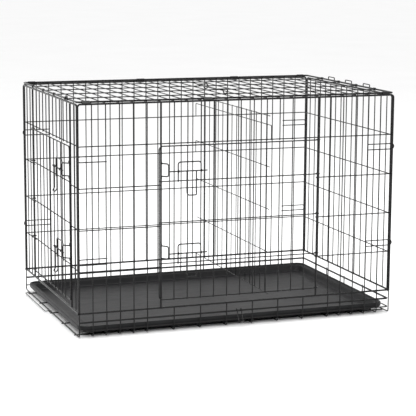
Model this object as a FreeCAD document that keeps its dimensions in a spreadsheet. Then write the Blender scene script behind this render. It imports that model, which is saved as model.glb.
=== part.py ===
import FreeCAD, Part
import math
import os

from FreeCAD import Placement, Rotation, Vector

# Folding wire dog crate, 42-inch class, with a front door, a left end door, a lid, a sliding pan
# and a wire divider.
#
# Frame: X runs along the crate from the left end (-X, door and pan) to the right end (+X).
# Y runs across it from the front panel (-Y) to the back panel (+Y). Z is up. The origin lies on the
# floor under the middle of the crate. Everything is in millimetres.
#
# Each wall is described in panel coordinates: u along the wall, n outwards from the plane of its
# frame wires, z up. Wires that cross are laid against each other and touch along their sides.

os.makedirs("parts", exist_ok=True)
doc = FreeCAD.newDocument("WireCrate")

DIMENSIONS = [
    # alias, value, meaning
    ("pitch", 44.45, "spacing of the uprights"),
    ("columns", 24, "upright spaces along the front and back"),
    ("bays", 16, "upright spaces across the ends"),
    ("frame_wire", 3.0, "radius of the frame wires"),
    ("grid_wire", 1.75, "radius of the panel grid wires"),
    ("base_wire", 1.9, "radius of the floor wires"),
    ("door_wire", 2.0, "radius of the door frame wires"),
    ("divider_wire", 1.4, "radius of the divider wires"),
    ("rod_wire", 2.0, "radius of the bolt rods"),
    ("keeper_wire", 2.0, "radius of the keeper loops"),
    ("guide_wire", 1.2, "radius of the bolt guide eyes"),
    ("handle_wire", 2.0, "radius of the carry handle wire"),
    ("stop_wire", 1.3, "radius of the pan stop wire"),
    ("frame_bend", 9.0, "bend radius of the frame corners"),
    ("small_bend", 8.0, "bend radius of small wire forms"),
    ("tight_bend", 4.0, "bend radius of tight wire forms"),
    ("hinge_row", 80.0, "height of the bottom rails"),
    ("row_step", 130.5, "spacing of the panel cross wires"),
    ("rows", 5, "row spaces from the bottom rail to the top rail"),
    ("end_top", 730.3, "height of the end panels' top rails"),
    ("end_half_width", 345.2, "half distance between the end panels' posts"),
    ("end_nub", 2.7, "length of end cross wires past their posts"),
    ("rail_reach", 352.2, "half length of the end panels' hinge rails"),
    ("eye_inner", 3.1, "inner radius of the end hinge eyes"),
    ("eye_outer", 5.1, "outer radius of the end hinge eyes"),
    ("eye_length", 3.7, "length of the end hinge eyes"),
    ("upper_rail", 50.0, "height of the upper base rail"),
    ("lower_rail", 22.0, "height of the lower base rail"),
    ("floor_bend", 9.0, "bend radius of the floor wires"),
    ("opening_left", 6, "column of the front opening's latch side upright"),
    ("opening_right", 18, "column of the front opening's hinge side upright"),
    ("end_opening_front", 2, "bay of the left opening's latch side upright"),
    ("end_opening_back", 13, "bay of the left opening's hinge side upright"),
    ("door_overlap", 7.6, "reach of a door past its opening on the latch side"),
    ("door_gap", 0.3, "gap between a hinge eye and its upright"),
    ("door_top", 595.0, "height of a door's top wire"),
    ("door_bottom", 107.0, "height of a door's bottom wire"),
    ("door_row_rise", 13.0, "rise of a door's cross wires above the panel rows"),
    ("door_bend", 12.0, "bend radius of a door's outer corners"),
    ("door_shift", 4.4, "shift of a door's uprights toward the latch side"),
    ("bracket_width", 75.6, "width of a latch bracket"),
    ("bracket_rise", 60.0, "height of a latch bracket"),
    ("bracket_inset", 52.3, "latch bracket's nearer leg from the opening upright"),
    ("rod_rise", 45.0, "height of a bolt above its panel row"),
    ("rod_length", 126.0, "length of a bolt rod"),
    ("rod_clear", 20.7, "drawn bolt tip from the opening upright"),
    ("bolt_travel", 16.0, "travel of a bolt"),
    ("paddle_width", 31.0, "width of a bolt's paddle"),
    ("paddle_drop", 66.0, "length of a bolt's paddle"),
    ("paddle_curl", 7.0, "outward curl of a paddle's lower end"),
    ("paddle_tip", 9.0, "drop of a paddle's curled end"),
    ("paddle_inset", 57.0, "paddle's nearer leg from the bolt's tip"),
    ("keeper_rise", 30.0, "keeper loop's lower end above its panel row"),
    ("keeper_height", 40.0, "height of a keeper loop"),
    ("keeper_bow", 17.0, "sideways reach of a keeper loop"),
    ("keeper_stand", 24.6, "outward reach of a keeper loop"),
    ("pan_left", -530.0, "left edge of the pan's rim"),
    ("pan_right", 522.0, "right edge of the pan's rim"),
    ("pan_half_width", 345.0, "half width of the pan's rim"),
    ("pan_floor", 7.9, "height of the pan's underside"),
    ("pan_rim", 36.0, "height of the pan's rim"),
    ("pan_wall", 2.5, "wall thickness of the pan"),
    ("pan_flare", 20.0, "inward lean of the pan's walls down to its floor"),
    ("pan_step", 6.0, "width of the pan's flat rim"),
    ("pan_corner", 30.0, "corner radius of the pan"),
    ("lid_rise", 6.3, "lid frame above the front and back top rails"),
    ("lid_loop_rise", 10.0, "rise of the lid's end loops"),
    ("lid_loop_half", 25.0, "half width of the lid's end loops"),
    ("wrap_outer", 4.8, "outer radius of a lid wire wrapped round the end of the lid"),
    ("wrap_inner", 3.1, "inner radius of a lid wire wrapped round the end of the lid"),
    ("wrap_span", 12.0, "width of a lid wire's wrap"),
    ("lid_inset", 6.5, "lid frame wires inside the front and back top rails"),
    ("lid_long_near", 71.1, "inner long lid wires from the middle"),
    ("lid_long_far", 213.4, "outer long lid wires from the middle"),
    ("clip_inner", 3.1, "inner radius of the lid clips"),
    ("clip_outer", 4.3, "outer radius of the lid clips"),
    ("clip_length", 28.0, "length of a middle lid clip"),
    ("clip_short", 25.0, "length of a corner lid clip"),
    ("clip_corner", 27.4, "corner lid clips from the end of the crate"),
    ("handle_column", 13, "column of the lid wire that carries the handle"),
    ("handle_half", 95.0, "half length of the carry handle"),
    ("handle_reach", 34.0, "carry handle grip from its lid wire"),
    ("handle_eye", 7.6, "centre radius of the carry handle's eyes"),
    ("hook_half_gap", 9.0, "half spacing of a corner hook's two wires"),
    ("hook_high", 564.0, "height of the upper corner hooks"),
    ("hook_low", 243.0, "height of the lower corner hooks"),
    ("divider_x", 105.0, "position of the divider"),
    ("divider_half", 346.0, "half width of the divider"),
    ("divider_top", 676.0, "height of the divider's top wire"),
    ("divider_bottom", 96.0, "height of the divider's bottom wire"),
    ("divider_hook_high", 647.0, "height of the divider's upper hooked wire"),
    ("divider_hook_low", 512.0, "height of the divider's lower hooked wire"),
    ("divider_row_high", 374.0, "height of a plain divider wire"),
    ("divider_row_low", 233.0, "height of a plain divider wire"),
    ("divider_hook_out", 3.4, "divider hooks outside the panel's frame plane"),
    ("stop_front", 16.0, "front leg of the pan stop behind the middle"),
    ("stop_back", 300.0, "back leg of the pan stop behind the middle"),
    ("stop_reach", 17.0, "reach of the pan stop"),
    ("stop_eye", 3.6, "centre radius of the pan stop's eyes"),
    ("clip_arm_gap", 15.0, "spacing of the carry clip's arms"),
    ("clip_arm_out", 22.0, "outward reach of the carry clip"),
    ("clip_arm_drop", 38.0, "drop of the carry clip"),
    ("clip_eye", 5.1, "centre radius of the carry clip's eyes"),
]

sheet = doc.addObject("Spreadsheet::Sheet", "Dimensions")
for line, (alias, value, meaning) in enumerate(DIMENSIONS, start=1):
    sheet.set(f"A{line}", alias)
    sheet.set(f"B{line}", str(value))
    sheet.set(f"C{line}", meaning)
    sheet.setAlias(f"B{line}", alias)
doc.recompute()


class Length:
    """A length worked out from the sheet: its expression and its present value."""

    def __init__(self, text, value):
        self.text = text
        self.value = float(value)

    def __add__(self, other):
        other = length(other)
        return Length(f"({self.text} + {other.text})", self.value + other.value)

    def __radd__(self, other):
        return length(other) + self

    def __sub__(self, other):
        other = length(other)
        return Length(f"({self.text} - {other.text})", self.value - other.value)

    def __rsub__(self, other):
        return length(other) - self

    def __mul__(self, factor):
        return Length(f"({self.text} * {factor})", self.value * factor)

    __rmul__ = __mul__

    def __truediv__(self, factor):
        return Length(f"({self.text} / {factor})", self.value / factor)

    def __neg__(self):
        return Length(f"(0 - {self.text})", -self.value)


def length(number):
    """A Length from a Length or from a plain number."""
    if isinstance(number, Length):
        return number
    return Length(f"({number})" if number < 0 else str(number), number)


def cell(alias):
    """The Length held in one cell of the sheet."""
    return Length(f"Dimensions.{alias}", sheet.get(alias))


D = {alias: cell(alias) for alias, _, _ in DIMENSIONS}
COLUMNS = int(D["columns"].value)
BAYS = int(D["bays"].value)
ROWS = int(D["rows"].value)
PITCH = D["pitch"]
HALF_LONG = PITCH * (COLUMNS / 2)
HALF_WIDE = PITCH * (BAYS / 2)
TOP = D["hinge_row"] + D["row_step"] * ROWS
FRAME = D["frame_wire"]
GRID = D["grid_wire"]
BASE = D["base_wire"]

# Offsets from a panel's frame plane, each layer touching the next.
UPRIGHT_LAYER = GRID - FRAME
CROSS_LAYER = UPRIGHT_LAYER - GRID * 2


def column_x(index):
    """X of an upright column, counted from the left end."""
    return PITCH * index - HALF_LONG


def bay_y(index):
    """Y of an upright bay, counted from the front."""
    return PITCH * index - HALF_WIDE


def row_z(index):
    """Height of a panel row, counted from the bottom rail."""
    return D["hinge_row"] + D["row_step"] * index


# The four walls map panel coordinates (u, n, z) to X, Y and Z.
def front_wall(u, n, z):
    return (length(u), -(HALF_WIDE + n), length(z))


def back_wall(u, n, z):
    return (length(u), HALF_WIDE + n, length(z))


def left_wall(u, n, z):
    return (-(HALF_LONG + n), length(u), length(z))


def right_wall(u, n, z):
    return (HALF_LONG + n, length(u), length(z))


def in_space(x, y, z):
    return (length(x), length(y), length(z))


TURN = {
    0: Rotation(Vector(0, 1, 0), 90),
    1: Rotation(Vector(1, 0, 0), -90),
    2: Rotation(),
}


def straight_wire(name, start, end, radius):
    """A straight wire along X, Y or Z between two points, as a cylinder bound to the sheet."""
    run = max(range(3), key=lambda k: abs(end[k].value - start[k].value))
    if end[run].value < start[run].value:
        start, end = end, start
    wire = doc.addObject("Part::Cylinder", name)
    wire.Placement = Placement(Vector(*(p.value for p in start)), TURN[run])
    wire.setExpression("Radius", radius.text)
    wire.setExpression("Height", (end[run] - start[run]).text)
    for axis, point in zip("xyz", start):
        wire.setExpression(f"Placement.Base.{axis}", point.text)
    return wire


def rounded_path(points, bends):
    """A wire of lines and tangent arcs through the points, with one bend radius per inner point."""
    corners = [Vector(*(p.value for p in point)) for point in points]
    edges = []
    here = corners[0]
    for before, corner, after, bend in zip(corners, corners[1:], corners[2:], bends):
        into = (corner - before).normalize()
        out = (after - corner).normalize()
        turn = into.getAngle(out)
        reach = bend * math.tan(turn / 2)
        first = corner - into * reach
        last = corner + out * reach
        inward = (out - into).normalize()
        centre = corner + inward * (bend / math.cos(turn / 2))
        middle = centre - inward * bend
        if (first - here).Length > 1e-4:
            edges.append(Part.LineSegment(here, first).toShape())
        edges.append(Part.Arc(first, middle, last).toShape())
        here = last
    if (corners[-1] - here).Length > 1e-4:
        edges.append(Part.LineSegment(here, corners[-1]).toShape())
    return Part.Wire(edges)


def bent_wire(name, points, bends, radius):
    """A bent wire: a circle bound to the sheet, swept along a path of lines and arcs."""
    if isinstance(bends, Length):
        bends = [bends.value] * (len(points) - 2)
    else:
        bends = [length(bend).value for bend in bends]
    spine = doc.addObject("Part::Feature", f"{name}_path")
    spine.Shape = rounded_path(points, bends)
    start = Vector(*(p.value for p in points[0]))
    toward = Vector(*(p.value for p in points[1])) - start
    section = doc.addObject("Part::Circle", f"{name}_section")
    section.setExpression("Radius", radius.text)
    section.Placement = Placement(start, Rotation(Vector(0, 0, 1), toward))
    sweep = doc.addObject("Part::Sweep", name)
    sweep.Sections = [section]
    edge_names = [f"Edge{k}" for k in range(1, len(spine.Shape.Edges) + 1)]
    sweep.Spine = (spine, edge_names)
    sweep.Solid = True
    sweep.Frenet = False
    return sweep


NODES = []


def node(label, pieces):
    """One named sub-part: a group of separate solids, or a single solid."""
    group = doc.addObject("Part::Compound", label)
    group.Label = label
    group.Links = pieces
    NODES.append(group)
    return group


# ---- Base -------------------------------------------------------------------------------------
floor_z = BASE
cross_z = BASE * 3
long_end = HALF_LONG + BASE * 2
upper_y = HALF_WIDE - BASE - FRAME
lower_y = HALF_WIDE - BASE * 2
rail_under = D["hinge_row"] - FRAME

BASE_COLUMNS = [0, 1, 2, 3, 4, 5, 7, 9, 11, 13, 15, 17, 19, 20, 21, 22, 23, 24]
pieces = []
for index in BASE_COLUMNS:
    x = column_x(index)
    path = [
        in_space(x, -HALF_WIDE, rail_under),
        in_space(x, -HALF_WIDE, cross_z),
        in_space(x, HALF_WIDE, cross_z),
        in_space(x, HALF_WIDE, rail_under),
    ]
    pieces.append(bent_wire(f"base_cross_{index}", path, D["floor_bend"], BASE))
node("base_cross_wires", pieces)

pieces = []
for index, share in enumerate((-0.43, -0.21, 0.0, 0.21, 0.43)):
    y = HALF_WIDE * (2 * share)
    path = [in_space(-long_end, y, floor_z), in_space(long_end, y, floor_z)]
    if abs(share) < 0.3:
        path.append(in_space(long_end, y, D["upper_rail"] + FRAME))
        pieces.append(bent_wire(f"base_long_{index}", path, [BASE * 1.5], BASE))
    else:
        pieces.append(straight_wire(f"base_long_{index}", path[0], path[1], BASE))
node("base_long_wires", pieces)


def base_rail(name, y, x_end, z, radius):
    """A base rail along the front, the right end and the back in one bent wire."""
    path = [
        in_space(-HALF_LONG, -y, z),
        in_space(x_end, -y, z),
        in_space(x_end, y, z),
        in_space(-HALF_LONG, y, z),
    ]
    return bent_wire(name, path, D["small_bend"], radius)


node("base_upper_rails", [base_rail("upper_rail_wire", upper_y, long_end - BASE - FRAME, D["upper_rail"], FRAME)])
node("base_lower_rails", [base_rail("lower_rail_wire", lower_y, long_end - BASE * 2, D["lower_rail"], BASE)])

# ---- Front and back panels --------------------------------------------------------------------
post_foot = D["hinge_row"] + FRAME
rail_below_top = TOP - FRAME


def long_panel_frame(label, wall):
    """A straight bottom rail, two posts and a top rail with bent corners."""
    rail = straight_wire(
        f"{label}_rail", wall(-HALF_LONG, 0, D["hinge_row"]), wall(HALF_LONG, 0, D["hinge_row"]), FRAME
    )
    path = [
        wall(-HALF_LONG, 0, post_foot),
        wall(-HALF_LONG, 0, TOP),
        wall(HALF_LONG, 0, TOP),
        wall(HALF_LONG, 0, post_foot),
    ]
    node(label, [rail, bent_wire(f"{label}_hoop", path, D["frame_bend"], FRAME)])


def cross_wire(name, wall, start, end, z):
    """A grid wire along a wall, on the inside of its uprights."""
    return straight_wire(name, wall(start, CROSS_LAYER, z), wall(end, CROSS_LAYER, z), GRID)


def upright(name, wall, u, low, high):
    """A grid wire up a wall."""
    return straight_wire(name, wall(u, UPRIGHT_LAYER, low), wall(u, UPRIGHT_LAYER, high), GRID)


long_panel_frame("front_panel_frame", front_wall)
long_panel_frame("back_panel_frame", back_wall)

door_left = column_x(D["opening_left"].value)
door_right = column_x(D["opening_right"].value)
short_foot = row_z(ROWS - 1) - GRID * 2
pieces = []
for index in range(1, COLUMNS):
    u = column_x(index)
    if index in (D["opening_left"].value, D["opening_right"].value):
        pieces.append(
            straight_wire(
                f"front_opening_{index}", front_wall(u, 0, post_foot), front_wall(u, 0, rail_below_top), FRAME
            )
        )
    elif D["opening_left"].value < index < D["opening_right"].value:
        pieces.append(upright(f"front_short_{index}", front_wall, u, short_foot, rail_below_top))
    else:
        pieces.append(upright(f"front_upright_{index}", front_wall, u, post_foot, rail_below_top))
node("front_panel_uprights", pieces)

past = FRAME * 1.2
pieces = [cross_wire("front_cross_full", front_wall, -HALF_LONG, HALF_LONG, row_z(ROWS - 1))]
for row in range(1, ROWS - 1):
    z = row_z(row)
    pieces.append(cross_wire(f"front_cross_left_{row}", front_wall, -HALF_LONG, door_left + past, z))
    pieces.append(cross_wire(f"front_cross_right_{row}", front_wall, door_right - past, HALF_LONG, z))
node("front_panel_cross_wires", pieces)

node(
    "back_panel_uprights",
    [
        upright(f"back_upright_{index}", back_wall, column_x(index), post_foot, rail_below_top)
        for index in range(1, COLUMNS)
    ],
)
node(
    "back_panel_cross_wires",
    [cross_wire(f"back_cross_{row}", back_wall, -HALF_LONG, HALF_LONG, row_z(row)) for row in range(1, ROWS)],
)


def corner_hook(name, wall, side, z):
    """A double-wire hook: two wires from the second upright, joined by a loop past the corner post."""
    inner = PITCH * (COLUMNS / 2 - 2) * side
    outer = (HALF_LONG + FRAME) * side
    layer = FRAME + GRID
    path = [
        wall(inner, UPRIGHT_LAYER + GRID * 2, z + D["hook_half_gap"]),
        wall(inner, layer, z + D["hook_half_gap"]),
        wall(outer, layer, z + D["hook_half_gap"]),
        wall(outer, layer, z - D["hook_half_gap"]),
        wall(inner, layer, z - D["hook_half_gap"]),
        wall(inner, UPRIGHT_LAYER + GRID * 2, z - D["hook_half_gap"]),
    ]
    bend = D["hook_half_gap"] * 0.99
    return bent_wire(name, path, [0.5, bend, bend, 0.5], GRID)


for label, wall in (("front_corner_hooks", front_wall), ("back_corner_hooks", back_wall)):
    pieces = []
    for side, end in ((-1, "left"), (1, "right")):
        for level in ("hook_high", "hook_low"):
            pieces.append(corner_hook(f"{label}_{level}_{end}", wall, side, D[level]))
    node(label, pieces)

# ---- End panels -------------------------------------------------------------------------------
end_half = D["end_half_width"]
end_reach = end_half + D["end_nub"]
end_below_top = D["end_top"] - FRAME
gap_front = bay_y(D["end_opening_front"].value)
gap_back = bay_y(D["end_opening_back"].value)


def end_panel_frame(label, wall):
    """A straight hinge rail, two posts and a top rail with bent corners."""
    reach = D["rail_reach"]
    rail_z = D["hinge_row"]
    rail = straight_wire(f"{label}_rail", wall(-reach, 0, rail_z), wall(reach, 0, rail_z), FRAME)
    path = [
        wall(-end_half, 0, post_foot),
        wall(-end_half, 0, D["end_top"]),
        wall(end_half, 0, D["end_top"]),
        wall(end_half, 0, post_foot),
    ]
    node(label, [rail, bent_wire(f"{label}_hoop", path, D["frame_bend"], FRAME)])


end_panel_frame("left_end_frame", left_wall)
end_panel_frame("right_end_frame", right_wall)

pieces = []
for index in range(1, BAYS):
    u = bay_y(index)
    if index in (D["end_opening_front"].value, D["end_opening_back"].value):
        pieces.append(
            straight_wire(
                f"left_opening_{index}", left_wall(u, 0, post_foot), left_wall(u, 0, end_below_top), FRAME
            )
        )
    elif D["end_opening_front"].value < index < D["end_opening_back"].value:
        pieces.append(upright(f"left_short_{index}", left_wall, u, short_foot, end_below_top))
    else:
        pieces.append(upright(f"left_upright_{index}", left_wall, u, post_foot, end_below_top))
node("left_end_uprights", pieces)
node(
    "right_end_uprights",
    [
        upright(f"right_upright_{index}", right_wall, bay_y(index), post_foot, end_below_top)
        for index in range(1, BAYS)
    ],
)
pieces = [cross_wire("left_cross_full", left_wall, -end_reach, end_reach, row_z(ROWS - 1))]
for row in range(1, ROWS - 1):
    pieces.append(cross_wire(f"left_cross_front_{row}", left_wall, -end_reach, gap_front + past, row_z(row)))
    pieces.append(cross_wire(f"left_cross_back_{row}", left_wall, gap_back - past, end_reach, row_z(row)))
node("left_end_cross_wires", pieces)
node(
    "right_end_cross_wires",
    [
        cross_wire(f"right_cross_{row}", right_wall, -end_reach, end_reach, row_z(row))
        for row in range(1, ROWS)
    ],
)


def tube(name, start, run, outer, inner, span):
    """A short tube along X (run 0) or Y (run 1) that begins at start."""
    parts = []
    for kind, radius in (("outside", outer), ("bore", inner)):
        part = doc.addObject("Part::Cylinder", f"{name}_{kind}")
        part.Placement = Placement(Vector(*(p.value for p in start)), TURN[run])
        part.setExpression("Radius", radius.text)
        part.setExpression("Height", span.text)
        for axis, point in zip("xyz", start):
            part.setExpression(f"Placement.Base.{axis}", point.text)
        parts.append(part)
    cut = doc.addObject("Part::Cut", name)
    cut.Base, cut.Tool = parts
    return cut


pieces = []
eye_start = HALF_WIDE - FRAME - D["eye_length"]
for x_side, x in (("left", -HALF_LONG), ("right", HALF_LONG)):
    for y_side, y in (("front", -(HALF_WIDE - FRAME)), ("back", eye_start)):
        pieces.append(
            tube(
                f"hinge_eye_{x_side}_{y_side}",
                in_space(x, y, D["hinge_row"]),
                1,
                D["eye_outer"],
                D["eye_inner"],
                D["eye_length"],
            )
        )
node("end_hinge_eyes", pieces)

# ---- Doors and latches ------------------------------------------------------------------------
# A door has its own panel coordinates: u runs from the hinge upright to the latch side.
DOOR = D["door_wire"]
door_layer = FRAME + DOOR + D["door_gap"]
door_cross_layer = FRAME + GRID + D["door_gap"] + 1.0
door_upright_layer = door_cross_layer + GRID * 2
bracket_layer = door_upright_layer + GRID + DOOR
rod_layer = bracket_layer + DOOR + D["guide_wire"] * 2 + D["rod_wire"] + 0.2


def front_door(u, n, z):
    return front_wall(door_right - u, n, z)


def left_door(u, n, z):
    return left_wall(gap_back - u, n, z)


def eye_path(wall, width, layer, z):
    """A wire from the latch side to the hinge, ending in an open eye round the hinge upright."""
    return [
        wall(width, layer, z),
        wall(-layer, layer, z),
        wall(-layer, -layer, z),
        wall(layer, -layer, z),
        wall(layer, 0, z),
    ]


def door(label, wall, opening, first, last):
    """A door: bent frame wire, cross wires with hinge eyes, and uprights on the outside."""
    width = opening + D["door_overlap"]
    top = D["door_top"]
    low = D["door_bottom"]
    eye = door_layer.value * 0.99
    bend = D["door_bend"]
    upper = eye_path(wall, width, door_layer, top)
    lower = eye_path(wall, width, door_layer, low)
    frame_path = list(reversed(upper[1:])) + [upper[0], lower[0]] + lower[1:]
    node(
        f"{label}_frame",
        [bent_wire(f"{label}_frame_wire", frame_path, [eye, eye, eye, bend, bend, eye, eye, eye], DOOR)],
    )
    pieces = []
    ring = door_cross_layer.value * 0.99
    for row in range(1, ROWS - 1):
        z = row_z(row) + D["door_row_rise"]
        path = eye_path(wall, width - DOOR - 0.2, door_cross_layer, z)
        pieces.append(bent_wire(f"{label}_cross_{row}", path, [ring, ring, ring], GRID))
    node(f"{label}_cross_wires", pieces)
    pieces = []
    for index in range(first, last + 1):
        u = PITCH * index + D["door_shift"]
        pieces.append(
            straight_wire(
                f"{label}_upright_{index}",
                wall(u, door_upright_layer, low - DOOR),
                wall(u, door_upright_layer, top + DOOR),
                GRID,
            )
        )
    node(f"{label}_uprights", pieces)
    return width


def latch(label, wall, opening, row):
    """Bracket, guide eyes, keeper loop and bolt of one latch, level with a panel row."""
    row_height = row_z(row)
    foot = row_height + D["door_row_rise"]
    near = opening - D["bracket_inset"]
    far = near - D["bracket_width"]
    crown = foot + D["bracket_rise"]
    bracket = bent_wire(
        f"{label}_bracket",
        [
            wall(near, bracket_layer, foot - DOOR),
            wall(near, bracket_layer, crown),
            wall(far, bracket_layer, crown),
            wall(far, bracket_layer, foot - DOOR),
        ],
        D["small_bend"],
        DOOR,
    )
    rod_z = row_height + D["rod_rise"]
    guides = []
    for side, u in (("near", near), ("far", far)):
        radius = D["rod_wire"] + D["guide_wire"] + 0.2
        ring = doc.addObject("Part::Torus", f"{label}_guide_{side}")
        ring.setExpression("Radius1", radius.text)
        ring.setExpression("Radius2", D["guide_wire"].text)
        centre = wall(u, rod_layer, rod_z)
        across = Vector(*(b.value - a.value for a, b in zip(centre, wall(u + 1, rod_layer, rod_z))))
        ring.Placement = Placement(Vector(*(p.value for p in centre)), Rotation(Vector(0, 0, 1), across))
        for axis, point in zip("xyz", centre):
            ring.setExpression(f"Placement.Base.{axis}", point.text)
        guides.append(ring)
    keep_low = row_height + D["keeper_rise"]
    keep_high = keep_low + D["keeper_height"]
    root = FRAME + D["keeper_wire"]
    keeper = bent_wire(
        f"{label}_keeper",
        [
            wall(opening, root, keep_low - D["keeper_wire"] * 4),
            wall(opening, root, keep_low),
            wall(opening - D["keeper_bow"], D["keeper_stand"], keep_low),
            wall(opening - D["keeper_bow"], D["keeper_stand"], keep_high),
            wall(opening, root, keep_high),
            wall(opening, root, keep_high + D["keeper_wire"] * 4),
        ],
        [3.0, 7.0, 7.0, 3.0],
        D["keeper_wire"],
    )
    tip = opening - D["rod_clear"]
    rod_ends = [wall(u, rod_layer, rod_z) for u in (tip, tip - D["rod_length"])]
    rod = straight_wire(f"{label}_rod", *rod_ends, D["rod_wire"])
    leg = tip - D["paddle_inset"]
    other = leg - D["paddle_width"]
    outer = rod_layer + D["rod_wire"] * 2
    paddle_low = rod_z - D["paddle_drop"]
    paddle = bent_wire(
        f"{label}_paddle",
        [
            wall(leg, outer, rod_z + D["rod_wire"]),
            wall(leg, outer, paddle_low),
            wall(leg, outer + D["paddle_curl"], paddle_low - D["paddle_tip"]),
            wall(other, outer + D["paddle_curl"], paddle_low - D["paddle_tip"]),
            wall(other, outer, paddle_low),
            wall(other, outer, rod_z + D["rod_wire"]),
        ],
        [6.0, 7.0, 7.0, 6.0],
        D["rod_wire"],
    )
    node(f"{label}_bolt", [rod, paddle])
    return bracket, guides, keeper


DOORS = [
    ("front_door", front_door, door_right - door_left, 1, 11, "front"),
    ("left_door", left_door, gap_back - gap_front, 1, 10, "left"),
]
for door_label, wall, opening, first, last, side in DOORS:
    door(door_label, wall, opening, first, last)
    brackets = []
    guide_eyes = []
    keepers = []
    for level, row in (("lower", 1), ("upper", 3)):
        bracket, guides, keeper = latch(f"{side}_{level}", wall, opening, row)
        brackets.append(bracket)
        guide_eyes.extend(guides)
        keepers.append(keeper)
    node(f"{door_label}_latch_brackets", brackets)
    node(f"{door_label}_guide_eyes", guide_eyes)
    node(f"{door_label}_keepers", keepers)

# ---- Pan --------------------------------------------------------------------------------------
def pan_outline(name, inset, z):
    """A rounded rectangle, drawn in from the pan's rim by an inset."""
    x_low = D["pan_left"] + inset
    x_high = D["pan_right"] - inset
    y_high = D["pan_half_width"] - inset
    bend = D["pan_corner"].value - length(inset).value * 0.5
    middle = (x_low + x_high) / 2
    points = [
        in_space(middle, -y_high, z),
        in_space(x_high, -y_high, z),
        in_space(x_high, y_high, z),
        in_space(x_low, y_high, z),
        in_space(x_low, -y_high, z),
        in_space(middle, -y_high, z),
    ]
    outline = doc.addObject("Part::Feature", name)
    outline.Shape = rounded_path(points, [bend] * 4)
    return outline


def pan_block(name, low_inset, low_z, high_inset, high_z):
    """The solid between two outlines of the pan."""
    block = doc.addObject("Part::Loft", name)
    block.Sections = [
        pan_outline(f"{name}_low", low_inset, low_z),
        pan_outline(f"{name}_high", high_inset, high_z),
    ]
    block.Solid = True
    block.Ruled = True
    return block


wall_thick = D["pan_wall"]
lean = D["pan_flare"] + D["pan_step"]
outside = pan_block("pan_outside", lean, D["pan_floor"], D["pan_step"], D["pan_rim"])
rim = pan_block("pan_rim_slab", 0, D["pan_rim"] - wall_thick, 0, D["pan_rim"])
hollow = pan_block(
    "pan_hollow",
    lean + wall_thick,
    D["pan_floor"] + wall_thick,
    D["pan_step"] + wall_thick,
    D["pan_rim"] + 0.01,
)
shell = doc.addObject("Part::Fuse", "pan_shell")
shell.Base = outside
shell.Tool = rim
pan = doc.addObject("Part::Cut", "pan")
pan.Base = shell
pan.Tool = hollow
pan.Label = "pan"
NODES.append(pan)

# ---- Pan stop: a bent wire hooked under the left floor wire, lying outside the pan's way --------
stop_z = cross_z
eye = D["stop_eye"]


def stop_leg(y):
    """One leg from its hook, round the underside of the floor wire, out to the crossbar."""
    return [
        in_space(-HALF_LONG + eye, y, stop_z + BASE * 0.2),
        in_space(-HALF_LONG + eye, y, stop_z - eye),
        in_space(-HALF_LONG - eye, y, stop_z - eye),
        in_space(-HALF_LONG - eye, y, stop_z),
        in_space(-HALF_LONG - D["stop_reach"], y, stop_z),
    ]


leg_front = stop_leg(D["stop_front"])
leg_back = stop_leg(D["stop_back"])
path = leg_front + list(reversed(leg_back))
hook_bend = eye.value * 0.95
small = D["tight_bend"]
bends = [hook_bend, hook_bend * 0.6, D["stop_wire"].value * 0.6, small, small, D["stop_wire"].value * 0.6]
bends += [hook_bend * 0.6, hook_bend]
node("pan_stop", [bent_wire("pan_stop_wire", path, bends, D["stop_wire"])])

# ---- Carry clip: two arms hung from the upper base rail under the front door --------------------
clip_y = -upper_y
clip_z = D["upper_rail"]
ring = D["clip_eye"]


def clip_arm(x):
    """One arm, from its open eye round the rail down to the hook's crown."""
    out = clip_y - D["clip_arm_out"]
    low = clip_z - D["clip_arm_drop"]
    return [
        in_space(x, clip_y + ring, clip_z - 1.0),
        in_space(x, clip_y + ring, clip_z + ring),
        in_space(x, clip_y - ring, clip_z + ring),
        in_space(x, clip_y - ring, clip_z - ring * 1.2),
        in_space(x, out, low),
        in_space(x, out - 7.0, low + 9.0),
    ]


arm_left = clip_arm(-D["clip_arm_gap"] / 2)
arm_right = clip_arm(D["clip_arm_gap"] / 2)
path = arm_left + list(reversed(arm_right))
eye_bend = ring.value * 0.99
bends = [eye_bend, eye_bend, 3.0, 4.0, 4.0, 4.0, 4.0, 3.0, eye_bend, eye_bend]
node("carry_clip", [bent_wire("carry_clip_wire", path, bends, GRID)])

# ---- Lid --------------------------------------------------------------------------------------
lid_y = HALF_WIDE - D["lid_inset"]
lid_z = TOP + D["lid_rise"]
lid_cross_z = lid_z - FRAME - GRID
lid_long_z = lid_cross_z + GRID * 2
path = [
    in_space(0, -lid_y, lid_z),
    in_space(HALF_LONG, -lid_y, lid_z),
    in_space(HALF_LONG, lid_y, lid_z),
    in_space(-HALF_LONG, lid_y, lid_z),
    in_space(-HALF_LONG, -lid_y, lid_z),
    in_space(0, -lid_y, lid_z),
]
node("lid_frame", [bent_wire("lid_frame_wire", path, D["frame_bend"], FRAME)])
node(
    "lid_cross_wires",
    [
        straight_wire(
            f"lid_cross_{index}",
            in_space(column_x(index), -lid_y, lid_cross_z),
            in_space(column_x(index), lid_y, lid_cross_z),
            GRID,
        )
        for index in range(1, COLUMNS)
    ],
)
lid_long_end = HALF_LONG - D["wrap_outer"]
long_ys = [-D["lid_long_far"], -D["lid_long_near"], D["lid_long_near"], D["lid_long_far"]]
node(
    "lid_long_wires",
    [
        straight_wire(
            f"lid_long_{k}",
            in_space(-lid_long_end, y, lid_long_z),
            in_space(lid_long_end, y, lid_long_z),
            GRID,
        )
        for k, y in enumerate(long_ys)
    ],
)

node(
    "lid_wire_wraps",
    [
        tube(
            f"wrap_{end}_{k}",
            in_space(x, y - D["wrap_span"] / 2, lid_z),
            1,
            D["wrap_outer"],
            D["wrap_inner"],
            D["wrap_span"],
        )
        for end, x in (("left", -HALF_LONG), ("right", HALF_LONG))
        for k, y in enumerate(long_ys)
    ],
)


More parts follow.
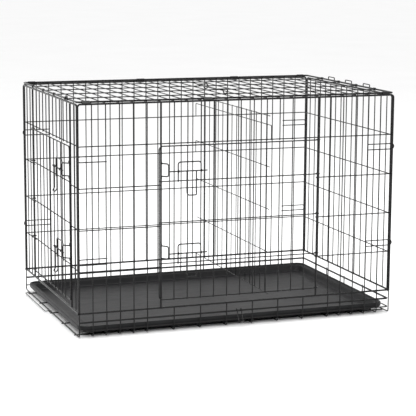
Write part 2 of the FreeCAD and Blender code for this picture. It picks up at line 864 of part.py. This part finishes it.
def clip_band(name, side, x, width):
    """A band bent round the lid's rail and the wall's rail: a closed loop of sheet metal."""
    blocks = []
    for kind, radius in (("outer", D["clip_outer"].value), ("inner", D["clip_inner"].value)):
        start = x.value - width.value / 2
        near = Vector(start, lid_y.value * side, lid_z.value)
        far = Vector(start, HALF_WIDE.value * side, TOP.value)
        over = (far - near).normalize() * radius
        up = Vector(0, -over.z, over.y)
        outline = Part.Wire(
            [
                Part.LineSegment(near + up, far + up).toShape(),
                Part.Arc(far + up, far + over, far - up).toShape(),
                Part.LineSegment(far - up, near - up).toShape(),
                Part.Arc(near - up, near - over, near + up).toShape(),
            ]
        )
        section = doc.addObject("Part::Feature", f"{name}_{kind}_section")
        section.Shape = outline
        block = doc.addObject("Part::Extrusion", f"{name}_{kind}")
        block.Base = section
        block.Dir = Vector(1, 0, 0)
        block.DirMode = "Custom"
        block.Solid = True
        block.setExpression("LengthFwd", width.text)
        blocks.append(block)
    band = doc.addObject("Part::Cut", name)
    band.Base, band.Tool = blocks
    return band


def clip_saddle(name, side, x, width):
    """A band cut open along its underside, so that the lid lifts away from the wall's rail."""
    band = clip_band(f"{name}_band", side, x, width)
    cutter = doc.addObject("Part::Box", f"{name}_cutter")
    reach = D["clip_outer"] * 2
    far_y = HALF_WIDE + reach
    cutter.Placement = Placement(Vector(0, 0, 0), Rotation())
    cutter.setExpression("Length", (width + 2).text)
    cutter.setExpression("Width", (reach * 3).text)
    cutter.setExpression("Height", reach.text)
    low_y = far_y - reach * 3 if side > 0 else -far_y
    for axis, point in zip("xyz", (x - width / 2 - 1, low_y, TOP - reach)):
        cutter.setExpression(f"Placement.Base.{axis}", point.text)
    saddle = doc.addObject("Part::Cut", name)
    saddle.Base = band
    saddle.Tool = cutter
    return saddle


corner_x = HALF_LONG - D["clip_corner"]
BACK_CLIPS = [
    (-corner_x, D["clip_short"]),
    (column_x(9.5), D["clip_length"]),
    (column_x(17.5), D["clip_length"]),
    (corner_x, D["clip_short"]),
]
FRONT_CLIPS = [(-corner_x, D["clip_short"]), (column_x(9.5), D["clip_length"]), (corner_x, D["clip_short"])]
node("lid_hinge_clips", [clip_band(f"hinge_clip_{k}", 1, x, w) for k, (x, w) in enumerate(BACK_CLIPS)])
node("lid_front_clips", [clip_saddle(f"front_clip_{k}", -1, x, w) for k, (x, w) in enumerate(FRONT_CLIPS)])

pieces = []
loop_x = HALF_LONG + FRAME + GRID
loop_top = lid_z + D["lid_loop_rise"]
mid_y = (D["lid_long_far"] + D["lid_long_near"]) / 2
half = D["lid_loop_half"]
LID_LOOPS = [
    ("right_front", loop_x, -mid_y, half),
    ("right_middle", loop_x, bay_y(BAYS / 2), half),
    ("right_back", loop_x, mid_y, half),
    ("left", -loop_x, bay_y(2.5), D["hook_half_gap"]),
]
for place, x, y, half in LID_LOOPS:
    path = [
        in_space(x, y - half, lid_z - FRAME),
        in_space(x, y - half, loop_top),
        in_space(x, y + half, loop_top),
        in_space(x, y + half, lid_z - FRAME),
    ]
    pieces.append(bent_wire(f"lid_loop_{place}", path, D["tight_bend"], GRID))
node("lid_end_loops", pieces)

# ---- Carry handle: lies flat on the lid, its eyes round one lid wire ----------------------------
eye = D["handle_eye"]
pin_x = column_x(D["handle_column"].value)
grip_x = pin_x - D["handle_reach"]


def handle_arm(y):
    """One arm from its open eye to the grip."""
    return [
        in_space(pin_x - eye, y, lid_cross_z + 1.0),
        in_space(pin_x - eye, y, lid_cross_z - eye),
        in_space(pin_x + eye, y, lid_cross_z - eye),
        in_space(pin_x + eye, y, lid_cross_z + eye),
        in_space(grip_x, y, lid_cross_z + eye),
    ]


path = handle_arm(-D["handle_half"]) + list(reversed(handle_arm(D["handle_half"])))
bend = eye.value * 0.99
bends = [bend, bend, bend, D["small_bend"], D["small_bend"], bend, bend, bend]
node("carry_handle", [bent_wire("carry_handle_wire", path, bends, D["handle_wire"])])

# ---- Divider ----------------------------------------------------------------------------------
thin = D["divider_wire"]
div_x = D["divider_x"]
div_half = D["divider_half"]
node(
    "divider_uprights",
    [
        straight_wire(
            f"divider_upright_{index}",
            in_space(div_x, bay_y(index), D["divider_bottom"] - thin),
            in_space(div_x, bay_y(index), D["divider_top"] + thin),
            thin,
        )
        for index in range(1, BAYS)
    ],
)
hang = HALF_WIDE + D["divider_hook_out"]
row_x = div_x - thin * 2
pieces = []
for alias in ("divider_bottom", "divider_row_low", "divider_row_high", "divider_top"):
    z = D[alias]
    ends = [in_space(row_x, y, z) for y in (-div_half, div_half)]
    pieces.append(straight_wire(f"{alias}_wire", *ends, thin))
high = D["divider_hook_high"]
leg = row_z(ROWS - 1) - GRID
path = [
    in_space(row_x, -hang, leg),
    in_space(row_x, -hang, high),
    in_space(row_x, hang, high),
    in_space(row_x, hang, leg),
]
pieces.append(bent_wire("divider_high_hook", path, D["tight_bend"], thin))
low = D["divider_hook_low"]
leg = row_z(ROWS - 2) - GRID
path = [in_space(row_x, -div_half, low), in_space(row_x, hang, low), in_space(row_x, hang, leg)]
pieces.append(bent_wire("divider_low_hook", path, D["tight_bend"], thin))
node("divider_cross_wires", pieces)

# ---- Check and write --------------------------------------------------------------------------
doc.recompute()
failed = [item.Label for item in doc.Objects if "Invalid" in item.State or "Error" in item.State]
failed += [item.Label for item in NODES if item.Shape.isNull() or not item.Shape.isValid()]
if failed:
    raise RuntimeError("did not compute: " + ", ".join(failed))
for item in NODES:
    item.Shape.exportStep(f"parts/{item.Label}.step")
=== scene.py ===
import math

import bmesh
import bpy
from mathutils import Matrix, Vector


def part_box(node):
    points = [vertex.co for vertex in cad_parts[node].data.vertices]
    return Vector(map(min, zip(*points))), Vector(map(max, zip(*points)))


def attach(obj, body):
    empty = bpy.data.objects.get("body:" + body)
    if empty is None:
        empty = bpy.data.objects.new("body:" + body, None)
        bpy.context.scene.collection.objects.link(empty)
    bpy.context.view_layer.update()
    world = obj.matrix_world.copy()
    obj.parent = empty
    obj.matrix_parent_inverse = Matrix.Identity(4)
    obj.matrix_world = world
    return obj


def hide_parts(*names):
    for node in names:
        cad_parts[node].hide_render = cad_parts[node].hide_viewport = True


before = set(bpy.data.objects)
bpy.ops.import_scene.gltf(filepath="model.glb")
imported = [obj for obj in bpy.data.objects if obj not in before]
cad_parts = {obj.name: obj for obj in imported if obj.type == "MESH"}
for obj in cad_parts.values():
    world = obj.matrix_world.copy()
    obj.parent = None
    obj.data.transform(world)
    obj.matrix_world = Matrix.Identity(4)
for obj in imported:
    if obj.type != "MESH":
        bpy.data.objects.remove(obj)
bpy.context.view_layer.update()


# ---- Materials --------------------------------------------------------------------------------
def new_material(name):
    """A node material, with its nodes and its links."""
    material = bpy.data.materials.new(name)
    material.use_nodes = True
    return material, material.node_tree.nodes, material.node_tree.links


def noise(nodes, links, coords, scale, detail, rough=0.5):
    """A noise pattern from 0 to 1."""
    texture = nodes.new("ShaderNodeTexNoise")
    texture.inputs["Scale"].default_value = scale
    texture.inputs["Detail"].default_value = detail
    texture.inputs["Roughness"].default_value = rough
    links.new(coords, texture.inputs["Vector"])
    return texture.outputs["Fac"]


def remap(nodes, links, value, low, high, to_low, to_high):
    """Stretch one range of values onto another."""
    node = nodes.new("ShaderNodeMapRange")
    sockets = ("From Min", "From Max", "To Min", "To Max")
    for socket, number in zip(sockets, (low, high, to_low, to_high)):
        node.inputs[socket].default_value = number
    links.new(value, node.inputs["Value"])
    return node.outputs["Result"]


def ramp(nodes, links, value, stops):
    """Colour by value; stops are (place, colour) pairs."""
    node = nodes.new("ShaderNodeValToRGB")
    elements = node.color_ramp.elements
    while len(elements) < len(stops):
        elements.new(0.5)
    for element, (place, colour) in zip(elements, stops):
        element.position = place
        element.color = (*colour, 1)
    links.new(value, node.inputs["Fac"])
    return node.outputs["Color"]


def add_marks(nodes, links, colour, marks, share):
    """Lay light marks over a base colour."""
    mix = nodes.new("ShaderNodeMix")
    mix.data_type = "RGBA"
    mix.blend_type = "ADD"
    mix.inputs["Factor"].default_value = share
    links.new(colour, mix.inputs[6])
    links.new(marks, mix.inputs[7])
    return mix.outputs[2]


def bump(nodes, links, height, strength, depth):
    """A surface normal from a height pattern; depth is in metres."""
    node = nodes.new("ShaderNodeBump")
    node.inputs["Strength"].default_value = strength
    node.inputs["Distance"].default_value = depth
    links.new(height, node.inputs["Height"])
    return node.outputs["Normal"]


def powder_coat(name, dark, light, rough, coat, grain=0.12):
    """Powder-coated steel: orange-peel skin, slow gloss changes and a few dusty specks."""
    material, nodes, links = new_material(name)
    shader = nodes["Principled BSDF"]
    coords = nodes.new("ShaderNodeTexCoord").outputs["Object"]
    broad = noise(nodes, links, coords, 14.0, 3.0)
    fine = noise(nodes, links, coords, 900.0, 3.0, 0.6)
    peel = noise(nodes, links, coords, 420.0, 2.0, 0.5)
    colour = ramp(nodes, links, broad, [(0.3, dark), (0.7, light)])
    specks = ramp(nodes, links, fine, [(0.66, (0, 0, 0)), (0.8, (0.006, 0.006, 0.0063))])
    links.new(add_marks(nodes, links, colour, specks, 0.6), shader.inputs["Base Color"])
    gloss = remap(nodes, links, broad, 0.3, 0.7, rough - 0.06, rough + 0.08)
    links.new(gloss, shader.inputs["Roughness"])
    links.new(bump(nodes, links, peel, grain, 0.0004), shader.inputs["Normal"])
    shader.inputs["Specular IOR Level"].default_value = 0.22
    shader.inputs["Coat Weight"].default_value = coat
    shader.inputs["Coat Roughness"].default_value = 0.18
    return material


def moulded_plastic(name):
    """Dark moulded plastic: fine pebble grain, faint flow clouds and light scuffs."""
    material, nodes, links = new_material(name)
    shader = nodes["Principled BSDF"]
    coords = nodes.new("ShaderNodeTexCoord").outputs["Object"]
    cloud = noise(nodes, links, coords, 5.0, 4.0)
    stretch = nodes.new("ShaderNodeMapping")
    stretch.inputs["Scale"].default_value = (6.0, 60.0, 60.0)
    links.new(coords, stretch.inputs["Vector"])
    scuff = noise(nodes, links, stretch.outputs["Vector"], 2.0, 5.0, 0.7)
    colour = ramp(nodes, links, cloud, [(0.3, (0.0065, 0.0065, 0.007)), (0.7, (0.011, 0.011, 0.0118))])
    marks = ramp(nodes, links, scuff, [(0.62, (0, 0, 0)), (0.82, (0.008, 0.008, 0.008))])
    links.new(add_marks(nodes, links, colour, marks, 0.5), shader.inputs["Base Color"])
    links.new(remap(nodes, links, scuff, 0.3, 0.8, 0.38, 0.52), shader.inputs["Roughness"])
    shader.inputs["Specular IOR Level"].default_value = 0.16
    pebble = nodes.new("ShaderNodeTexVoronoi")
    pebble.inputs["Scale"].default_value = 700.0
    links.new(coords, pebble.inputs["Vector"])
    links.new(bump(nodes, links, pebble.outputs["Distance"], 0.25, 0.0003), shader.inputs["Normal"])
    return material


FRAME_COAT = powder_coat(
    "frame_coat", dark=(0.0016, 0.0016, 0.0018), light=(0.0036, 0.0036, 0.004), rough=0.26, coat=0.06
)
GRID_COAT = powder_coat(
    "grid_coat", dark=(0.0015, 0.0015, 0.0017), light=(0.004, 0.004, 0.0043), rough=0.32, coat=0.03
)
BASE_COAT = powder_coat(
    "base_coat", dark=(0.0018, 0.0018, 0.002), light=(0.005, 0.005, 0.0052), rough=0.36, coat=0.03,
    grain=0.16,
)
LATCH_COAT = powder_coat(
    "latch_coat", dark=(0.0015, 0.0015, 0.0017), light=(0.0036, 0.0036, 0.0039), rough=0.22, coat=0.08,
    grain=0.1,
)
PAN_PLASTIC = moulded_plastic("pan_plastic_look")


LATCH_WORDS = ("bolt", "keeper", "guide", "bracket", "clip")
FRAME_WORDS = ("frame", "handle", "eyes", "hook")


def coat_for(node):
    """The coat of a CAD node, from the words in its name."""
    if any(word in node for word in LATCH_WORDS):
        return LATCH_COAT
    if node.startswith("base"):
        return BASE_COAT
    if any(word in node for word in FRAME_WORDS):
        return FRAME_COAT
    return GRID_COAT


def dress(piece, material):
    """Put one material on every slot of a piece."""
    if not piece.material_slots:
        piece.data.materials.append(material)
    for slot in piece.material_slots:
        slot.material = material


for node_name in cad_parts:
    if node_name != "pan":
        dress(bpy.data.objects[node_name], coat_for(node_name))


def new_piece(name, mesh_builder, material, body):
    """Make a mesh object, give it a look and let it ride on a body."""
    mesh = bpy.data.meshes.new(name)
    mesh_builder.normal_update()
    mesh_builder.to_mesh(mesh)
    mesh_builder.free()
    piece = bpy.data.objects.new(name, mesh)
    bpy.context.scene.collection.objects.link(piece)
    mesh.shade_smooth()
    dress(piece, material)
    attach(piece, body)
    return piece


# ---- Spot welds where grid wires cross ----------------------------------------------------------
def wire_boxes(node):
    """The box of each separate wire of a node."""
    source = bmesh.new()
    source.from_mesh(bpy.data.objects[node].data)
    bmesh.ops.remove_doubles(source, verts=source.verts, dist=1e-6)
    seen = set()
    boxes = []
    for start in source.verts:
        if start.index in seen:
            continue
        seen.add(start.index)
        stack = [start]
        low = start.co.copy()
        high = start.co.copy()
        while stack:
            vertex = stack.pop()
            for k in range(3):
                low[k] = min(low[k], vertex.co[k])
                high[k] = max(high[k], vertex.co[k])
            for edge in vertex.link_edges:
                other = edge.other_vert(vertex)
                if other.index not in seen:
                    seen.add(other.index)
                    stack.append(other)
        boxes.append((low, high))
    source.free()
    return boxes


THIN_LIMIT = 0.008
TOUCH_REACH = 0.0004
BEAD_RADIUS = 0.00175
BEAD_THICKNESS = 0.0011


def thin(box):
    """True for the box of one straight wire that runs along an axis."""
    spans = sorted(box[1][k] - box[0][k] for k in range(3))
    return spans[1] < THIN_LIMIT


def weld_points(first, second):
    """Where the straight wires of two nodes touch."""
    points = []
    for low_a, high_a in filter(thin, wire_boxes(first)):
        for low_b, high_b in filter(thin, wire_boxes(second)):
            low = [max(low_a[k], low_b[k]) for k in range(3)]
            high = [min(high_a[k], high_b[k]) for k in range(3)]
            if all(high[k] - low[k] > -TOUCH_REACH for k in range(3)):
                normal = min(range(3), key=lambda k: high[k] - low[k])
                points.append((Vector([(low[k] + high[k]) / 2 for k in range(3)]), normal))
    return points


def weld_beads(name, pairs, body):
    """One small flattened bead at each crossing, a little uneven from weld to weld."""
    beads = bmesh.new()
    for first, second in pairs:
        for count, (point, normal) in enumerate(weld_points(first, second)):
            wobble = 1.0 + 0.12 * math.sin(count * 2.4 + point.x * 90 + point.z * 70)
            radii = [BEAD_RADIUS * wobble] * 3
            radii[normal] = BEAD_THICKNESS
            shape = Matrix.Translation(point) @ Matrix.Diagonal((*radii, 1.0))
            bmesh.ops.create_icosphere(beads, subdivisions=2, radius=1.0, matrix=shape)
    new_piece(name, beads, GRID_COAT, body)


WELDS = [
    ("front_panel_welds", "crate", [("front_panel_uprights", "front_panel_cross_wires")]),
    ("back_panel_welds", "crate", [("back_panel_uprights", "back_panel_cross_wires")]),
    ("left_end_welds", "left_end_panel", [("left_end_uprights", "left_end_cross_wires")]),
    ("right_end_welds", "right_end_panel", [("right_end_uprights", "right_end_cross_wires")]),
    ("lid_welds", "lid", [("lid_cross_wires", "lid_long_wires")]),
    ("divider_welds", "divider", [("divider_uprights", "divider_cross_wires")]),
]
for weld_name, weld_body, weld_pairs in WELDS:
    weld_beads(weld_name, weld_pairs, weld_body)


# ---- Pan --------------------------------------------------------------------------------------
PAN_WALL = 0.0025
BEAD_INSET = 0.058
BEAD_SPREAD = 0.004
BEAD_RISE = 0.0014
DISH_SLOPE = (0.075, 0.200)
DISH_DEPTH = 0.0006
CORNER_STEPS = 8
LONG_STEPS = 48
SHORT_STEPS = 32


def level(x, y):
    """The rise of a flat ring."""
    return 0.0


def pan_ring(builder, low, high, inset, z, corner, lift=level):
    """One closed ring of the pan, a rounded rectangle drawn in by an inset."""
    x0, y0 = low.x + inset, low.y + inset
    x1, y1 = high.x - inset, high.y - inset
    corner = max(min(corner, (x1 - x0) / 2, (y1 - y0) / 2), 0.0004)
    centres = [
        (x1 - corner, y0 + corner, -90),
        (x1 - corner, y1 - corner, 0),
        (x0 + corner, y1 - corner, 90),
        (x0 + corner, y0 + corner, 180),
    ]
    points = []
    for side, (cx, cy, start) in enumerate(centres):
        for step in range(CORNER_STEPS + 1):
            angle = math.radians(start + step * 90 / CORNER_STEPS)
            points.append((cx + corner * math.cos(angle), cy + corner * math.sin(angle)))
        nx, ny, _ = centres[(side + 1) % 4]
        angle = math.radians(start + 90)
        end = (cx + corner * math.cos(angle), cy + corner * math.sin(angle))
        following = (nx + corner * math.cos(angle), ny + corner * math.sin(angle))
        count = LONG_STEPS if side % 2 == 1 else SHORT_STEPS
        for step in range(1, count):
            share = step / count
            points.append(tuple(a + (b - a) * share for a, b in zip(end, following)))
    return [builder.verts.new((x, y, z + lift(x, y))) for x, y in points]


def smooth_step(value, low, high):
    """Ease from 0 at low to 1 at high."""
    share = min(max((value - low) / (high - low), 0.0), 1.0)
    return share * share * (3 - 2 * share)


def build_pan():
    """A moulded pan: stepped rim, flared walls, and a bead round a slightly dished floor."""
    low, high = (Vector(corner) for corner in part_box("pan"))
    floor_z = low.z
    rim_z = high.z
    floor_top = floor_z + PAN_WALL
    builder = bmesh.new()

    def relief(x, y):
        edge = min(x - low.x, high.x - x, y - low.y, high.y - y)
        bead = math.exp(-(((edge - BEAD_INSET) / BEAD_SPREAD) ** 2)) * BEAD_RISE
        return bead - DISH_DEPTH * smooth_step(edge, *DISH_SLOPE)

    profile = [
        (0.0014, rim_z - 0.0150, 0.030),
        (0.0004, rim_z - 0.0146, 0.030),
        (0.0000, rim_z - 0.0136, 0.030),
        (0.0000, rim_z - 0.0018, 0.030),
        (0.0006, rim_z - 0.0005, 0.030),
        (0.0018, rim_z, 0.030),
        (0.0036, rim_z - 0.0001, 0.029),
        (0.0048, rim_z - 0.0012, 0.0285),
        (0.0056, rim_z - 0.0034, 0.028),
        (0.0066, rim_z - 0.0042, 0.0275),
        (0.0084, rim_z - 0.0045, 0.027),
        (0.0160, rim_z - 0.0062, 0.025),
        (0.0174, rim_z - 0.0070, 0.0245),
        (0.0186, rim_z - 0.0090, 0.024),
        (0.0226, rim_z - 0.0180, 0.0225),
        (0.0252, floor_top + 0.0030, 0.021),
        (0.0276, floor_top + 0.0008, 0.020),
        (0.0310, floor_top, 0.019),
    ]
    rings = [pan_ring(builder, low, high, inset, z, corner) for inset, z, corner in profile]
    inset = 0.036
    deepest = (high.y - low.y) / 2 - 0.0005
    while inset < deepest:
        rings.append(pan_ring(builder, low, high, inset, floor_top, 0.018, relief))
        inset += 0.0035 if inset < 0.09 else 0.0056
    outer = [
        (0.0026, rim_z - 0.0148, 0.029),
        (0.0028, rim_z - 0.0050, 0.029),
        (0.0050, rim_z - 0.0064, 0.0285),
        (0.0134, rim_z - 0.0086, 0.026),
        (0.0160, rim_z - 0.0110, 0.025),
        (0.0205, rim_z - 0.0200, 0.0225),
        (0.0234, floor_z + 0.0026, 0.021),
        (0.0262, floor_z + 0.0005, 0.020),
        (0.0300, floor_z, 0.018),
        (0.0600, floor_z, 0.018),
    ]
    under = [pan_ring(builder, low, high, inset, z, corner) for inset, z, corner in outer]

    def skin(first, second):
        count = len(first)
        for k in range(count):
            following = (k + 1) % count
            builder.faces.new((first[k], first[following], second[following], second[k]))

    for first, second in zip(rings, rings[1:]):
        skin(first, second)
    for first, second in zip(under, under[1:]):
        skin(second, first)
    skin(under[0], rings[0])
    builder.faces.new(rings[-1])
    builder.faces.new(list(reversed(under[-1])))
    bmesh.ops.recalc_face_normals(builder, faces=builder.faces)
    return builder


pan_piece = new_piece("pan_moulding", build_pan(), PAN_PLASTIC, "pan")
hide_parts("pan")


# ---- Floor, light and camera --------------------------------------------------------------------
FLOOR_REACH = 30.0


def stage_floor():
    """A plain pale floor with a barely uneven tone."""
    material, nodes, links = new_material("studio_floor")
    shader = nodes["Principled BSDF"]
    coords = nodes.new("ShaderNodeTexCoord").outputs["Object"]
    cloud = noise(nodes, links, coords, 1.5, 3.0)
    colour = ramp(nodes, links, cloud, [(0.3, (0.92, 0.92, 0.92)), (0.7, (0.94, 0.94, 0.94))])
    links.new(colour, shader.inputs["Base Color"])
    shader.inputs["Roughness"].default_value = 0.75
    builder = bmesh.new()
    bmesh.ops.create_grid(builder, x_segments=4, y_segments=4, size=FLOOR_REACH)
    mesh = bpy.data.meshes.new("studio_floor")
    builder.to_mesh(mesh)
    builder.free()
    floor = bpy.data.objects.new("studio_floor", mesh)
    bpy.context.scene.collection.objects.link(floor)
    dress(floor, material)


def area_light(name, place, target, size, power):
    """A soft rectangular light, in metres and watts, aimed at a point."""
    light = bpy.data.lights.new(name, "AREA")
    light.shape = "RECTANGLE"
    light.size, light.size_y = size
    light.energy = power
    lamp = bpy.data.objects.new(name, light)
    lamp.location = place
    lamp.rotation_euler = (Vector(target) - Vector(place)).to_track_quat("-Z", "Y").to_euler()
    bpy.context.scene.collection.objects.link(lamp)


WORLD_STRENGTH = 1.02

stage_floor()
area_light("key_light", (-2.6, -3.2, 3.4), target=(0, 0, 0.35), size=(2.6, 2.0), power=110)
area_light("fill_light", (3.4, -2.4, 2.2), target=(0, 0, 0.35), size=(2.2, 2.2), power=40)
area_light("top_light", (0.2, 0.6, 4.0), target=(0, 0, 0.4), size=(3.0, 3.0), power=70)
world = bpy.data.worlds.new("studio")
world.use_nodes = True
background = world.node_tree.nodes["Background"]
background.inputs["Color"].default_value = (1.0, 1.0, 1.0, 1)
background.inputs["Strength"].default_value = WORLD_STRENGTH
bpy.context.scene.world = world
bpy.context.scene.view_settings.view_transform = "Standard"

CAMERA_PLACE = (-1.7346, -4.8042, 1.2098)
CAMERA_TURN = (("Z", -20.06), ("X", 80.20), ("Z", 0.312))

camera_data = bpy.data.cameras.new("camera")
camera_data.lens = 131.5
camera_data.sensor_width = 36.0
camera_data.clip_end = 200.0
camera = bpy.data.objects.new("camera", camera_data)
camera.matrix_world = Matrix.Translation(CAMERA_PLACE)
for axis, degrees in CAMERA_TURN:
    camera.matrix_world = camera.matrix_world @ Matrix.Rotation(math.radians(degrees), 4, axis)
bpy.context.scene.collection.objects.link(camera)
bpy.context.scene.camera = camera
